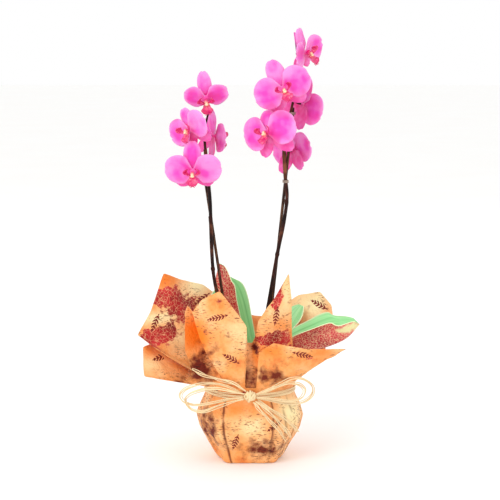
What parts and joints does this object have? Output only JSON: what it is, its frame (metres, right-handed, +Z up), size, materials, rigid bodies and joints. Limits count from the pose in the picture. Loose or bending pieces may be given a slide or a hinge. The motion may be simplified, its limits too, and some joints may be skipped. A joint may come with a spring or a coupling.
{
  "type": "potted moth orchid in paper wrapping",
  "caption": "Moth orchid with flower spikes on stakes, growing in a plastic pot wrapped in flared printed paper and tied with raffia.",
  "frame": {"origin": "middle of the wrapped base, on the surface that it stands on", "axes": "+Z up along the flower spikes, -Y towards the front where the raffia knot is"},
  "size_m": [0.3137, 0.2023, 0.6031],
  "materials": {
    "petal": "fresh petal, soft sheen",
    "lip": "waxy",
    "stem": "smooth dark stem",
    "stake": "coated stake",
    "clip": "moulded",
    "leaf": "fleshy, satin",
    "bark": "rough chips",
    "pot": "moulded",
    "outer_paper": "printed wrapping paper",
    "inner_paper": "printed wrapping paper",
    "raffia": "dry palm fibre"
  },
  "bodies": {
    "root": {"outer_paper": "outer_paper", "inner_paper": "inner_paper", "growing_pot": "pot", "bark_medium": "bark", "leaf_rosette": "leaf", "flower_spike_left": "stem", "flower_spike_right": "stem", "stake_left": "stake", "stake_right": "stake", "stem_clip_left_top": "clip", "stem_clip_right_middle": "clip", "stem_clip_right_top": "clip", "petals_left_1": "petal", "petals_left_2": "petal", "petals_left_3": "petal", "petals_left_4": "petal", "petals_right_1": "petal", "petals_right_2": "petal", "petals_right_3": "petal", "petals_right_4": "petal", "petals_right_5": "petal", "lip_left_1": "lip", "lip_left_2": "lip", "lip_left_3": "lip", "lip_left_4": "lip", "lip_right_1": "lip", "lip_right_2": "lip", "lip_right_3": "lip", "lip_right_4": "lip", "lip_right_5": "lip", "raffia_band": "raffia", "raffia_knot": "raffia", "raffia_loop_left_1": "raffia", "raffia_loop_left_2": "raffia", "raffia_loop_right_1": "raffia", "raffia_loop_right_2": "raffia", "raffia_tail_right_1": "raffia", "raffia_tail_right_2": "raffia", "raffia_tail_right_3": "raffia", "raffia_tail_left_1": "raffia"}
  },
  "joints": []
}
